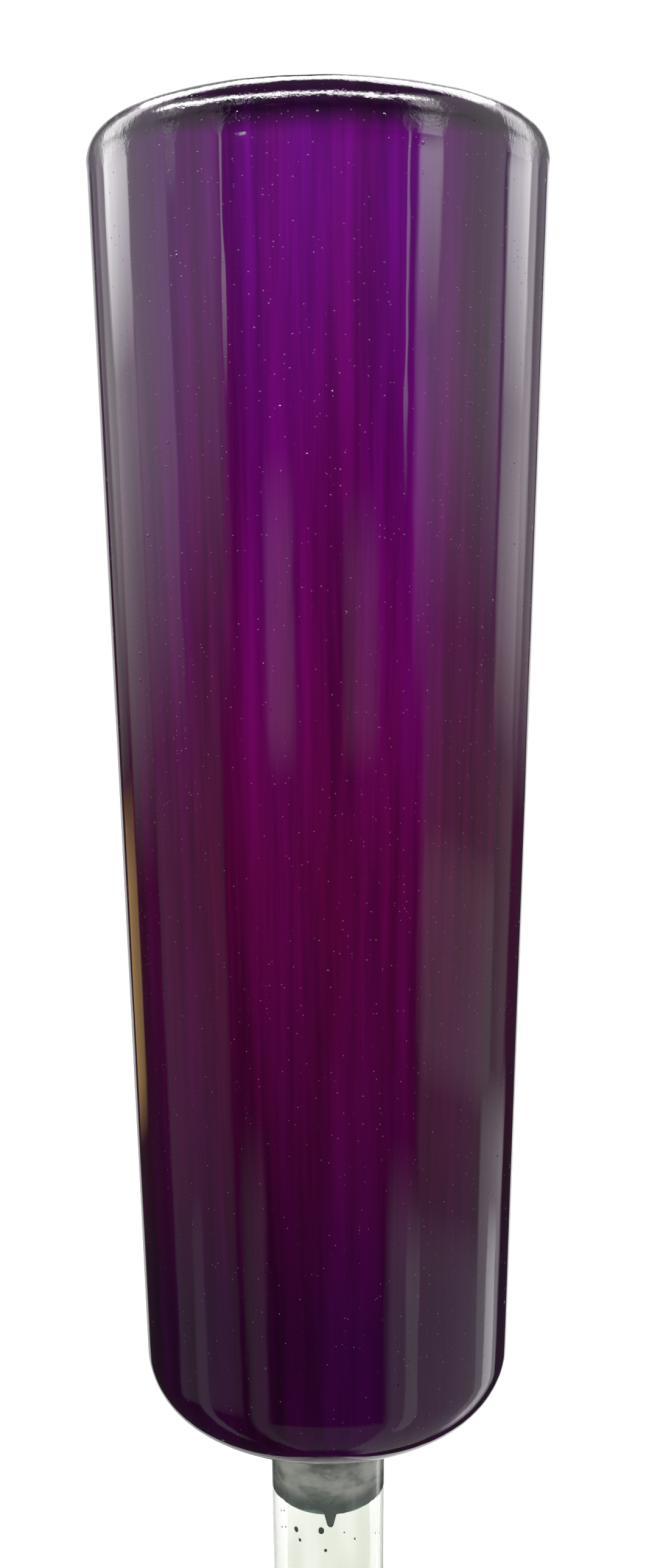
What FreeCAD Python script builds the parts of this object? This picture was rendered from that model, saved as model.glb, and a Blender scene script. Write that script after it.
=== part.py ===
import FreeCAD
import Part
import os
import re
import Sketcher

# A juggling club, 520 mm long: a tapered drum of a body, lacquered outside and hollow inside, with a
# cap in its mouth, on a clear tubular handle with a knob at its end.  +Z runs along the axis from the
# knob up to the crown, and the origin is the middle of the knob's underside.  Lengths are millimetres.

SIZES = {
    # body
    "handle_reach": (245.7, "knob's underside to the body's base"),
    "body_length": (270.8, "base to the corner of the crown"),
    "base_radius": (39.4, "body's side carried down to its base"),
    "top_radius": (47.5, "body's side carried up to the crown"),
    "base_rounding": (14.5, "rounding between base and side"),
    "shell_wall": (1.4, "shell's side wall"),
    "base_floor": (2.4, "shell's base"),
    "edge_rounding": (0.5, "small rounding of a moulded edge"),
    # crown, mouth and cap
    "shoulder_rounding": (5.0, "rounding between side and crown"),
    "crown_rise": (3.5, "height of the crown's dome"),
    "crown_wall": (1.8, "shell's crown, at the shoulder"),
    "lip_flat": (0.5, "crown from the shoulder's rounding to the mouth"),
    "lip_rounding": (2.5, "rounding inside, between side and crown"),
    "seat_depth": (5.5, "crown's corner down to the mouth ring"),
    "seat_width": (2.0, "mouth ring, from the mouth inwards"),
    "seat_gap": (0.7, "thickness of the cap gasket"),
    "gasket_recess": (0.3, "how far the gasket stays inside the cap's rim"),
    "cap_wall": (1.8, "thickness of the cap"),
    "cap_skirt": (8.0, "depth of the cap's skirt below the mouth ring's top"),
    "ring_height": (10.0, "mouth ring"),
    "ring_split": (3.0, "split in the mouth ring"),
    "well_radius": (11.5, "screw well in the crown"),
    "well_depth": (5.0, "screw well below the crown's top"),
    "well_floor": (3.0, "floor of the screw well"),
    "plug_height": (1.9, "cover over the screw well"),
    # dowel, ferrule and discs
    "damper_height": (2.0, "rubber washer between dowel and cap"),
    "ferrule_drop": (22.0, "base down to the rim of the ferrule's end"),
    "ferrule_skirt": (14.0, "ferrule's length on the dowel"),
    "ferrule_wall": (1.1, "ferrule's skirt"),
    "ferrule_dome": (1.4, "rise of the ferrule's rounded end"),
    "disc_height": (5.0, "centring disc"),
    "disc_place": (125.0, "base up to the centring disc"),
    "disc_hole_radius": (9.0, "lightening hole in the disc"),
    "disc_hole_ring": (26.0, "circle of the lightening holes"),
    "disc_hole_count": (6, "lightening holes"),
    # handle
    "bore_radius": (9.3, "handle's bore"),
    "handle_wall": (3.55, "handle's wall where it enters the body"),
    "grip_wall": (2.0, "wall of the straight stretch above the knob"),
    "grip_end": (95.0, "top of the straight stretch"),
    "neck_length": (6.0, "straight stretch below the base"),
    "handle_insert": (60.0, "handle's length inside the body"),
    "pin_radius": (2.0, "cross pins"),
    "low_pin_place": (22.0, "base up to the lower cross pin"),
    "pin_spacing": (22.0, "lower cross pin to the upper one"),
    # neck
    "gasket_height": (1.0, "neck gasket"),
    "collar_flange": (2.5, "neck collar's flange"),
    "collar_hub": (3.3, "neck collar's hub below the flange"),
    "hub_wall": (2.6, "neck collar's hub"),
    "screw_clearance": (3.3, "hub to the middle of a collar screw"),
    "flange_margin": (3.1, "middle of a collar screw to the flange's edge"),
    "clamp_margin": (5.1, "middle of a collar screw to the clamp ring's edge"),
    "clamp_height": (7.0, "clamp ring inside the base"),
    "collar_screw_radius": (1.5, "collar screw's shank"),
    "collar_head_radius": (2.8, "collar screw's countersunk head"),
    "collar_screw_length": (10.0, "collar screw, head included"),
    "socket_radius": (1.0, "half the width of a hexagon socket"),
    "socket_depth": (1.3, "hexagon socket"),
    "neck_screw_count": (4, "collar screws, and grub screws"),
    "grub_radius": (2.0, "grub screws that lock the clamp ring"),
    # knob
    "knob_radius": (18.0, "knob at its widest"),
    "knob_height": (30.0, "knob"),
    "knob_lobe": (8.0, "rounding of the knob's lower edge"),
    "knob_rim_wall": (1.95, "knob's rim round the handle"),
    "knob_floor": (9.0, "underside up to the handle's end"),
    "knob_well_radius": (7.4, "screw well in the knob's underside"),
    "knob_well_depth": (4.2, "screw well in the knob's underside"),
    "pin_cover": (1.5, "wood left beside the plug's cross pin"),
    # long screws
    "screw_radius": (2.25, "shank of the cap screw and the knob screw"),
    "screw_head_radius": (4.6, "their pan heads"),
    "screw_head_height": (1.7, "their pan heads"),
    "screw_tip": (3.0, "their points"),
    "cap_screw_length": (34.0, "cap screw below its head"),
    "knob_screw_length": (17.0, "knob screw below its head"),
    "slot_width": (1.1, "cross recess in a screw head"),
    "slot_length": (5.0, "cross recess in a screw head"),
    "slot_depth": (1.1, "cross recess in a screw head"),
    "washer_height": (1.2, "washers under the long screws"),
    "washer_gap": (0.5, "washers to the sides of their wells"),
    # clearances
    "fit_gap": (0.15, "between pieces that slide together"),
    "thread_gap": (0.05, "round a screw or a pin"),
    "hole_gap": (0.3, "round a piece that only passes through"),
}

doc = FreeCAD.newDocument("juggling_club")
sheet = doc.addObject("Spreadsheet::Sheet", "Sizes")
for row, (alias, (amount, meaning)) in enumerate(SIZES.items(), start=1):
    sheet.set(f"A{row}", alias)
    sheet.set(f"B{row}", str(amount))
    sheet.setAlias(f"B{row}", alias)
    sheet.set(f"C{row}", meaning)
doc.recompute()

nodes = []


# ---------------------------------------------------------------- reading the sheet

def bound(text):
    """An expression on the sheet's cells, from one on their names."""
    return re.sub(r"[a-z_]+", lambda word: f"Sizes.{word[0]}" if word[0] in SIZES else word[0], str(text))


def amount_of(text):
    """The number that an expression on the sheet's names gives."""
    return float(sheet.evalExpression(bound(text)))


def side_radius(height):
    """Radius of the body's straight side at a height above its base."""
    return f"(base_radius + (top_radius - base_radius) * ({height}) / body_length)"


def dome_radius(half_width, rise):
    """Radius of the arc that rises so far over such a half width."""
    return f"((({half_width}) * ({half_width}) + ({rise}) * ({rise})) / (2 * ({rise})))"


# ---------------------------------------------------------------- sketches and features

def new_body(label, up="0"):
    """A sub-part of its own, its zero at a height above the knob's underside."""
    body = doc.addObject("PartDesign::Body", label)
    body.Label = label
    body.setExpression("Placement.Base.z", bound(up))
    nodes.append(body)
    return body


def origin_part(body, role):
    return next(part for part in body.Origin.OriginFeatures if part.Role == role)


def new_sketch(body, plane="XZ_Plane", lift="0", turn=0):
    """A sketch on one of the body's own planes, lifted along its normal or turned about its upright."""
    sketch = body.newObject("Sketcher::SketchObject", body.Name + "_sketch")
    sketch.AttachmentSupport = [(origin_part(body, plane), "")]
    sketch.MapMode = "FlatFace"
    rotation = FreeCAD.Rotation(FreeCAD.Vector(0, 1, 0), turn)
    normal = rotation.multVec(FreeCAD.Vector(0, 0, 1))
    sketch.AttachmentOffset = FreeCAD.Placement(FreeCAD.Vector(), rotation)
    sketch.setExpression("AttachmentOffset.Base.x", bound(f"({lift}) * {normal.x}"))
    sketch.setExpression("AttachmentOffset.Base.z", bound(f"({lift}) * {normal.z}"))
    return sketch


def bind(sketch, kind, *place, size):
    """A constraint whose size follows the sheet."""
    index = sketch.addConstraint(Sketcher.Constraint(kind, *place, amount_of(size)))
    sketch.setExpression(f"Constraints[{index}]", bound(size))


def side_between(start, end, radius):
    """A straight side, or an arc: bulging out of a counter-clockwise outline, or in if negative."""
    if radius is None:
        return Part.LineSegment(start, end), (1, 2)
    reach = amount_of(radius)
    chord = end - start
    across = FreeCAD.Vector(-chord.y, chord.x, 0).normalize()
    drop = (reach ** 2 - (chord.Length / 2) ** 2) ** 0.5
    centre = start + chord / 2 + across * (drop if reach > 0 else -drop)
    first, last = (start, end) if reach > 0 else (end, start)
    angles = [FreeCAD.Vector(1, 0, 0).getAngle(point - centre) for point in (first, last)]
    signs = [1 if point.y >= centre.y else -1 for point in (first, last)]
    circle = Part.Circle(centre, FreeCAD.Vector(0, 0, 1), abs(reach))
    arc = Part.ArcOfCircle(circle, angles[0] * signs[0], angles[1] * signs[1])
    return arc, (1, 2) if reach > 0 else (2, 1)


def outline(sketch, corners):
    """A closed outline.  A corner is (across, up), or (across, up, radius) if an arc leaves it."""
    points = [FreeCAD.Vector(amount_of(corner[0]), amount_of(corner[1]), 0) for corner in corners]
    sides = []
    for index, corner in enumerate(corners):
        radius = corner[2] if len(corner) == 3 else None
        shape, ends = side_between(points[index], points[(index + 1) % len(points)], radius)
        sides.append((sketch.addGeometry(shape), ends, radius))
    for index, (side, ends, radius) in enumerate(sides):
        following, next_ends, _ = sides[(index + 1) % len(sides)]
        sketch.addConstraint(Sketcher.Constraint("Coincident", side, ends[1], following, next_ends[0]))
        bind(sketch, "DistanceX", side, ends[0], size=corners[index][0])
        bind(sketch, "DistanceY", side, ends[0], size=corners[index][1])
        if radius is not None:
            bind(sketch, "Radius", side, size=radius.lstrip("-"))


def turned(body, corners, cutting=False, about=None, axis="V_Axis", turn=0):
    """An outline turned round one of the sketch's axes, or round an upright line beside it."""
    sketch = new_sketch(body, turn=turn)
    if about:
        ends = [FreeCAD.Vector(amount_of(about), up, 0) for up in (-1, 1)]
        line = sketch.addGeometry(Part.LineSegment(*ends), True)
        for end in (1, 2):
            bind(sketch, "DistanceX", line, end, size=about)
        axis = "Axis0"
    outline(sketch, corners)
    doc.recompute()
    kind = "PartDesign::Groove" if cutting else "PartDesign::Revolution"
    feature = body.newObject(kind, body.Name + "_turned")
    feature.Profile = sketch
    feature.ReferenceAxis = (sketch, [axis])
    feature.Angle = 360
    doc.recompute()
    return feature


def circle_sketch(body, radius, across="0", along="0", plane="XY_Plane", turn=0):
    sketch = new_sketch(body, plane, turn=turn)
    centre = FreeCAD.Vector(amount_of(across), amount_of(along), 0)
    ring = sketch.addGeometry(Part.Circle(centre, FreeCAD.Vector(0, 0, 1), amount_of(radius)))
    bind(sketch, "Radius", ring, size=radius)
    bind(sketch, "DistanceX", ring, 3, size=across)
    bind(sketch, "DistanceY", ring, 3, size=along)
    return sketch


def hexagon(sketch, across="0"):
    """A hexagon socket's outline, its middle so far across the sketch."""
    reach = "2 * socket_radius / sqrt(3)"
    outline(sketch, [(f"{across} + {reach} * cos({turn} * 1deg)", f"{reach} * sin({turn} * 1deg)")
                     for turn in range(0, 360, 60)])


def cut_through(body, sketch, midplane=True, depth=None):
    """A pocket through the whole piece, or of a stated depth along the sketch's back."""
    pocket = body.newObject("PartDesign::Pocket", body.Name + "_pocket")
    pocket.Profile = sketch
    if depth is None:
        pocket.Type = 1
        pocket.Midplane = midplane
    else:
        pocket.setExpression("Length", bound(depth))
    doc.recompute()
    return pocket


def ring_of(body, features, count):
    """Repeats features round the body's axis."""
    pattern = body.newObject("PartDesign::PolarPattern", body.Name + "_ring")
    pattern.Originals = features
    pattern.Axis = (origin_part(body, "Z_Axis"), [""])
    pattern.Angle = 360
    pattern.setExpression("Occurrences", bound(count))
    body.Tip = pattern
    doc.recompute()
    return pattern


def circles_at(feature, radius, height, slack=0.01):
    """Names of a feature's circular edges of a radius, at a height."""
    names = []
    for index, edge in enumerate(feature.Shape.Edges, start=1):
        if edge.Degenerated or edge.Curve.TypeId != "Part::GeomCircle":
            continue
        same_size = abs(edge.Curve.Radius - amount_of(radius)) < slack
        if same_size and abs(edge.Curve.Center.z - amount_of(height)) < slack:
            names.append(f"Edge{index}")
    return names


def rounded(body, feature, places, radius, kind="Fillet"):
    """Rounds or chamfers the circular edges at (radius, height) places."""
    edges = [name for place in places for name in circles_at(feature, *place)]
    edge_work = body.newObject(f"PartDesign::{kind}", f"{body.Name}_{kind.lower()}")
    edge_work.Base = (feature, edges)
    edge_work.setExpression("Radius" if kind == "Fillet" else "Size", bound(radius))
    doc.recompute()
    return edge_work


# ---------------------------------------------------------------- heights that pieces share

SEAT = "(body_length - seat_depth)"
CROWN_TOP = "(seat_depth + crown_rise)"
CROWN_DOME = dome_radius("top_radius", "crown_rise")
WELL_BOTTOM = f"({CROWN_TOP} - well_depth)"
CAP_REST = f"({WELL_BOTTOM} - well_floor)"
DOWEL_TOP = f"({SEAT} + {CAP_REST} - damper_height)"
FERRULE_RADIUS = "(bore_radius - fit_gap)"
TENON_RADIUS = "(bore_radius - fit_gap - ferrule_wall - fit_gap)"
MOUTH_RADIUS = "(top_radius - shoulder_rounding - lip_flat)"
CAP_RADIUS = f"({MOUTH_RADIUS} - fit_gap)"
RING_INSIDE = f"({MOUTH_RADIUS} - seat_width)"
SKIRT_RADIUS = f"({RING_INSIDE} - fit_gap)"
HANDLE_RADIUS = "(bore_radius + handle_wall)"
GRIP_RADIUS = "(bore_radius + grip_wall)"
DOWEL_RADIUS = "(bore_radius - hole_gap)"
COLLAR_TOP = "(0 - gasket_height)"
FLANGE_BOTTOM = f"({COLLAR_TOP} - collar_flange)"
HUB_BOTTOM = f"({FLANGE_BOTTOM} - collar_hub)"
KNOB_SCREW_SEAT = "(knob_well_depth - washer_height)"
KNOB_SCREW_TIP = f"({KNOB_SCREW_SEAT} + knob_screw_length + thread_gap)"
INSERT_PIN = f"({KNOB_SCREW_TIP} + pin_cover + pin_radius)"
INSERT_TOP = f"({INSERT_PIN} + pin_radius + pin_cover)"
WASHER_HOLE = "(screw_radius + hole_gap)"
CAP_WASHER = "(well_radius - washer_gap)"
KNOB_WASHER = "(knob_well_radius - washer_gap)"
KNOB_BORE = f"({GRIP_RADIUS} + fit_gap)"
KNOB_RIM = f"({KNOB_BORE} + knob_rim_wall)"
CLAMP_BOTTOM = "(base_floor + fit_gap)"
BASE_HOLE = f"({HANDLE_RADIUS} + hole_gap)"
COLLAR_HOLE = f"({HANDLE_RADIUS} + fit_gap)"
HUB_RADIUS = f"({COLLAR_HOLE} + hub_wall)"
SCREW_RING = f"({HUB_RADIUS} + screw_clearance)"
FLANGE_RADIUS = f"({SCREW_RING} + flange_margin)"
CLAMP_RADIUS = f"({SCREW_RING} + clamp_margin)"
HALF_STEP = 180 / amount_of("neck_screw_count")


def crown_height(radius):
    """Height of the crown's dome above the mouth ring's top, at a radius."""
    return f"({CROWN_TOP} - {CROWN_DOME} + sqrt({CROWN_DOME} * {CROWN_DOME} - ({radius}) * ({radius})))"


# ---------------------------------------------------------------- body

def body_shell():
    """The drum: a thin side on a thicker base, turned in over the shoulder to the mouth in its crown."""
    body = new_body("body_shell", "handle_reach")
    low_wall = f"{side_radius('base_floor')} - shell_wall"
    lip_bottom = "body_length - crown_wall"
    high_wall = f"{side_radius(lip_bottom)} - shell_wall"
    lip_top = f"{SEAT} + {crown_height(MOUTH_RADIUS)}"
    drum = turned(body, [
        (BASE_HOLE, "0"),
        ("base_radius", "0"),
        ("top_radius", "body_length", CROWN_DOME),
        (MOUTH_RADIUS, lip_top),
        (MOUTH_RADIUS, lip_bottom),
        (high_wall, lip_bottom),
        (low_wall, "base_floor"),
        (BASE_HOLE, "base_floor"),
    ])
    base = rounded(body, drum, [("base_radius", "0")], "base_rounding")
    floor = rounded(body, base, [(low_wall, "base_floor")], "base_rounding - shell_wall")
    shoulder = rounded(body, floor, [("top_radius", "body_length")], "shoulder_rounding")
    inside = rounded(body, shoulder, [(high_wall, lip_bottom)], "lip_rounding")
    rounded(body, inside, [(MOUTH_RADIUS, lip_top)], "0.5 * edge_rounding")
    hole = cut_through(body, circle_sketch(body, "collar_screw_radius + hole_gap", SCREW_RING))
    ring_of(body, [hole], "neck_screw_count")


def mouth_ring():
    """The ring bonded inside the shell below the mouth.  A split lets it be sprung in through the mouth."""
    body = new_body("mouth_ring", f"handle_reach + {SEAT}")
    low = f"{side_radius(SEAT + ' - ring_height')} - shell_wall - fit_gap"
    high = f"{side_radius(SEAT)} - shell_wall - fit_gap"
    inner_edges = [(RING_INSIDE, "0 - ring_height"), (RING_INSIDE, "0")]
    ring = turned(body, [inner_edges[0], (low, "0 - ring_height"), (high, "0"), inner_edges[1]])
    rounded(body, ring, inner_edges, "edge_rounding", "Chamfer")
    split = new_sketch(body, "XY_Plane")
    outline(split, [
        (f"{RING_INSIDE} - fit_gap", "0 - ring_split / 2"),
        (f"{high} + fit_gap", "0 - ring_split / 2"),
        (f"{high} + fit_gap", "ring_split / 2"),
        (f"{RING_INSIDE} - fit_gap", "ring_split / 2"),
    ])
    cut_through(body, split)


def cap_gasket():
    """The thin ring that the cap's rim presses on the mouth ring."""
    plain_ring("cap_gasket", f"handle_reach + {SEAT}", f"{SKIRT_RADIUS} + fit_gap",
               f"{CAP_RADIUS} - gasket_recess", "seat_gap")


def top_cap():
    """The domed cap, with a skirt down into the mouth ring and a screw well in its middle."""
    body = new_body("top_cap", f"handle_reach + {SEAT}")
    underside = "seat_depth - cap_wall"
    cap = turned(body, [
        (SKIRT_RADIUS, "0 - cap_skirt"),
        (SKIRT_RADIUS, "seat_gap"),
        (CAP_RADIUS, "seat_gap"),
        (CAP_RADIUS, crown_height(CAP_RADIUS), CROWN_DOME),
        ("well_radius", crown_height("well_radius")),
        ("well_radius", WELL_BOTTOM),
        (WASHER_HOLE, WELL_BOTTOM),
        (WASHER_HOLE, CAP_REST),
        ("well_radius + cap_wall", CAP_REST),
        ("well_radius + cap_wall", underside),
        (f"{SKIRT_RADIUS} - cap_wall", underside),
        (f"{SKIRT_RADIUS} - cap_wall", "0 - cap_skirt"),
    ])
    rim = rounded(body, cap, [(CAP_RADIUS, crown_height(CAP_RADIUS))], "0.5 * edge_rounding")
    rounded(body, rim, [("well_radius", crown_height("well_radius"))], "edge_rounding")


def well_cover():
    """The push-in cover that hides the cap screw and carries on the crown's dome."""
    body = new_body("well_cover", f"handle_reach + {SEAT}")
    edge = "well_radius - fit_gap"
    cover = turned(body, [
        ("0", f"{CROWN_TOP} - plug_height"),
        (edge, f"{CROWN_TOP} - plug_height"),
        (edge, crown_height(edge), CROWN_DOME),
        ("0", CROWN_TOP),
    ])
    rounded(body, cover, [(edge, crown_height(edge))], "edge_rounding")


# ---------------------------------------------------------------- dowel and what is on it

def core_dowel():
    """The wooden dowel from the handle up to the cap, with a thinner end for the ferrule."""
    body = new_body("core_dowel", "handle_reach")
    shoulder = "0 - ferrule_drop + ferrule_skirt"
    turned(body, [
        ("0", "0 - ferrule_drop + ferrule_wall + fit_gap"),
        (TENON_RADIUS, "0 - ferrule_drop + ferrule_wall + fit_gap"),
        (TENON_RADIUS, shoulder),
        (DOWEL_RADIUS, shoulder),
        (DOWEL_RADIUS, DOWEL_TOP),
        ("screw_radius + thread_gap", DOWEL_TOP),
        ("screw_radius + thread_gap", f"{DOWEL_TOP} - cap_screw_length - thread_gap"),
        ("0", f"{DOWEL_TOP} - cap_screw_length - thread_gap"),
    ])
    pin_holes(body)


def pin_holes(body):
    """Two cross holes, one above the other and at right angles to it."""
    hole = "pin_radius + thread_gap"
    cut_through(body, circle_sketch(body, hole, along="low_pin_place", plane="XZ_Plane"))
    upper = "low_pin_place + pin_spacing"
    cut_through(body, circle_sketch(body, hole, along=upper, plane="YZ_Plane"))


def dowel_ferrule():
    """The round-ended cup on the dowel's lower end, which shows through the clear handle."""
    body = new_body("dowel_ferrule", "handle_reach - ferrule_drop")
    floor_top = "ferrule_wall"
    cup = turned(body, [
        ("0", "0 - ferrule_dome", dome_radius(FERRULE_RADIUS, "ferrule_dome")),
        (FERRULE_RADIUS, "0"),
        (FERRULE_RADIUS, "ferrule_skirt - fit_gap"),
        (f"{FERRULE_RADIUS} - ferrule_wall", "ferrule_skirt - fit_gap"),
        (f"{FERRULE_RADIUS} - ferrule_wall", floor_top),
        ("0", floor_top),
    ])
    rounded(body, cup, [(FERRULE_RADIUS, "0")], "edge_rounding")


def plain_ring(label, up, inner, outer, height):
    """A flat washer, damper or gasket."""
    body = new_body(label, up)
    turned(body, [(inner, "0"), (outer, "0"), (outer, height), (inner, height)])
    return body


def centring_disc():
    """The light disc halfway up, which keeps the thin shell round and the dowel central."""
    body = new_body("centring_disc", "handle_reach + disc_place")
    low = f"{side_radius('disc_place')} - shell_wall - fit_gap"
    high = f"{side_radius('disc_place + disc_height')} - shell_wall - fit_gap"
    turned(body, [
        (f"{DOWEL_RADIUS} + fit_gap", "0"),
        (low, "0"),
        (high, "disc_height"),
        (f"{DOWEL_RADIUS} + fit_gap", "disc_height"),
    ])
    hole = cut_through(body, circle_sketch(body, "disc_hole_radius", "disc_hole_ring"))
    ring_of(body, [hole], "disc_hole_count")


# ---------------------------------------------------------------- handle

def handle_tube():
    """The clear tube: straight above the knob, then widening up to the neck and into the body."""
    body = new_body("handle_tube", "handle_reach")
    bottom = "0 - handle_reach + knob_floor"
    tube = turned(body, [
        ("bore_radius", bottom),
        (GRIP_RADIUS, bottom),
        (GRIP_RADIUS, "0 - handle_reach + grip_end"),
        (HANDLE_RADIUS, "0 - neck_length"),
        (HANDLE_RADIUS, "handle_insert"),
        ("bore_radius", "handle_insert"),
    ])
    rounded(body, tube, [(GRIP_RADIUS, bottom), (HANDLE_RADIUS, "handle_insert")], "edge_rounding")
    pin_holes(body)
    cut_through(body, circle_sketch(body, "pin_radius + thread_gap", plane="XZ_Plane",
                                    along=f"0 - handle_reach + {INSERT_PIN}"))


def cross_pin(name, up, direction, reach):
    """A steel pin across the axis at a height, reaching as far on one side as on the other."""
    pin = doc.addObject("Part::Cylinder", name)
    pin.setExpression("Radius", bound("pin_radius"))
    pin.setExpression("Height", bound(f"2 * ({reach})"))
    pin.Placement.Rotation = FreeCAD.Rotation(FreeCAD.Vector(0, 0, 1), direction)
    pin.setExpression("Placement.Base.x", bound(f"{-direction.x} * ({reach})"))
    pin.setExpression("Placement.Base.y", bound(f"{-direction.y} * ({reach})"))
    pin.setExpression("Placement.Base.z", bound(up))
    return pin


def handle_pins():
    """The two pins that hold the dowel in the handle, inside the body."""
    reach = f"{HANDLE_RADIUS} - hole_gap"
    low = "handle_reach + low_pin_place"
    pins = [
        cross_pin("lower_pin", low, FreeCAD.Vector(0, 1, 0), reach),
        cross_pin("upper_pin", f"{low} + pin_spacing", FreeCAD.Vector(1, 0, 0), reach),
    ]
    group = doc.addObject("Part::Compound", "handle_pins")
    group.Links = pins
    nodes.append(group)


def insert_pin():
    """The pin that holds the plug in the handle's end, under the knob."""
    nodes.append(cross_pin("insert_pin", INSERT_PIN, FreeCAD.Vector(0, 1, 0), f"{GRIP_RADIUS} - hole_gap"))


# ---------------------------------------------------------------- neck

def neck_collar():
    """The flanged collar under the base, drawn up by screws to the clamp ring inside."""
    body = new_body("neck_collar", "handle_reach")
    collar = turned(body, [
        (COLLAR_HOLE, HUB_BOTTOM),
        (HUB_RADIUS, HUB_BOTTOM),
        (HUB_RADIUS, FLANGE_BOTTOM),
        (FLANGE_RADIUS, FLANGE_BOTTOM),
        (FLANGE_RADIUS, COLLAR_TOP),
        (COLLAR_HOLE, COLLAR_TOP),
    ])
    edges = [(HUB_RADIUS, HUB_BOTTOM), (FLANGE_RADIUS, FLANGE_BOTTOM)]
    rounded(body, collar, edges, "2 * edge_rounding")
    shank = cut_through(body, circle_sketch(body, "collar_screw_radius + hole_gap", SCREW_RING))
    sink = turned(body, countersink("fit_gap"), cutting=True, about=SCREW_RING)
    ring_of(body, [shank, sink], "neck_screw_count")


def countersink(gap):
    """Half the outline of a countersunk head, or of the hole for one, in the flange's underside."""
    centre = SCREW_RING
    depth = "(collar_head_radius - collar_screw_radius)"
    return [
        (centre, FLANGE_BOTTOM),
        (f"{centre} + collar_head_radius + {gap}", FLANGE_BOTTOM),
        (f"{centre} + collar_screw_radius + {gap}", f"{FLANGE_BOTTOM} + {depth}"),
        (centre, f"{FLANGE_BOTTOM} + {depth}"),
    ]


def neck_gasket():
    """The rubber washer between collar and base."""
    body = plain_ring("neck_gasket", f"handle_reach + {COLLAR_TOP}", COLLAR_HOLE,
                      f"{FLANGE_RADIUS} - 2 * edge_rounding", "gasket_height")
    hole = cut_through(body, circle_sketch(body, "collar_screw_radius + hole_gap", SCREW_RING))
    ring_of(body, [hole], "neck_screw_count")


def collar_screws():
    """Countersunk screws with hexagon sockets, up through collar, gasket and base."""
    body = new_body("collar_screws", "handle_reach")
    centre = SCREW_RING
    top = f"{FLANGE_BOTTOM} + collar_screw_length"
    screw = turned(body, [
        *countersink("0")[:3],
        (f"{centre} + collar_screw_radius", top),
        (centre, top),
    ], about=centre)
    socket = new_sketch(body, "XY_Plane", FLANGE_BOTTOM)
    hexagon(socket, centre)
    recess = cut_through(body, socket, depth="socket_depth")
    recess.Reversed = True
    doc.recompute()
    assert recess.Shape.Volume < screw.Shape.Volume
    ring_of(body, [screw, recess], "neck_screw_count")


def clamp_ring():
    """The ring inside the base that the collar screws pull on, locked to the handle."""
    body = new_body("clamp_ring", f"handle_reach + {CLAMP_BOTTOM}")
    ring = turned(body, [
        (COLLAR_HOLE, "0"),
        (CLAMP_RADIUS, "0"),
        (CLAMP_RADIUS, "clamp_height"),
        (COLLAR_HOLE, "clamp_height"),
    ])
    rounded(body, ring, [(CLAMP_RADIUS, "clamp_height")], "2 * edge_rounding", "Chamfer")
    shank = cut_through(body, circle_sketch(body, "collar_screw_radius + thread_gap", SCREW_RING))
    ring_of(body, [shank], "neck_screw_count")
    grub = circle_sketch(body, "grub_radius + thread_gap", along="clamp_height / 2",
                         plane="YZ_Plane", turn=HALF_STEP)
    radial = cut_through(body, grub, midplane=False)
    ring_of(body, [radial], "neck_screw_count")


def grub_screws():
    """Set screws in the clamp ring, between the collar screws, that bear on the handle."""
    body = new_body("grub_screws", f"handle_reach + {CLAMP_BOTTOM} + clamp_height / 2")
    outer = f"{CLAMP_RADIUS} - fit_gap"
    bearing = f"{HANDLE_RADIUS} + thread_gap"
    screw = turned(body, [
        (bearing, "0"),
        (outer, "0"),
        (outer, "grub_radius"),
        (f"{bearing} + 0.5 * grub_radius", "grub_radius"),
        (bearing, "0.5 * grub_radius"),
    ], axis="H_Axis", turn=HALF_STEP)
    socket = new_sketch(body, "YZ_Plane", outer, turn=HALF_STEP)
    hexagon(socket)
    recess = cut_through(body, socket, depth="socket_depth")
    assert recess.Shape.Volume < screw.Shape.Volume
    ring_of(body, [screw, recess], "neck_screw_count")


# ---------------------------------------------------------------- knob

def knob():
    """The rubber knob: a round lobe that narrows in one hollow curve to its rim."""
    body = new_body("knob")
    narrowing = f"(knob_radius - {KNOB_RIM})"
    rise = "(knob_height - knob_lobe)"
    span = f"(({rise} * {rise} + {narrowing} * {narrowing}) / (2 * {narrowing}))"
    join_across = f"knob_radius - knob_lobe + knob_lobe * ({span} - {narrowing}) / {span}"
    join_up = f"knob_lobe + knob_lobe * {rise} / {span}"
    screw_hole = "screw_radius + hole_gap"
    lobe = turned(body, [
        ("knob_well_radius", "0"),
        ("knob_radius - knob_lobe", "0", "knob_lobe"),
        (join_across, join_up, f"-({span} - knob_lobe)"),
        (KNOB_RIM, "knob_height"),
        (KNOB_BORE, "knob_height"),
        (KNOB_BORE, "knob_floor"),
        (screw_hole, "knob_floor"),
        (screw_hole, "knob_well_depth"),
        ("knob_well_radius", "knob_well_depth"),
    ])
    rounded(body, lobe, [(KNOB_RIM, "knob_height"), ("knob_well_radius", "0")], "edge_rounding")


def knob_insert():
    """The plug in the handle's end, which the knob screw bites into."""
    body = new_body("knob_insert")
    plug = turned(body, [
        ("screw_radius + thread_gap", "knob_floor"),
        ("bore_radius - fit_gap", "knob_floor"),
        ("bore_radius - fit_gap", INSERT_TOP),
        ("0", INSERT_TOP),
        ("0", KNOB_SCREW_TIP),
        ("screw_radius + thread_gap", KNOB_SCREW_TIP),
    ])
    rounded(body, plug, [("bore_radius - fit_gap", INSERT_TOP)], "edge_rounding", "Chamfer")
    cut_through(body, circle_sketch(body, "pin_radius + thread_gap", along=INSERT_PIN, plane="XZ_Plane"))


# ---------------------------------------------------------------- long screws

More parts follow.
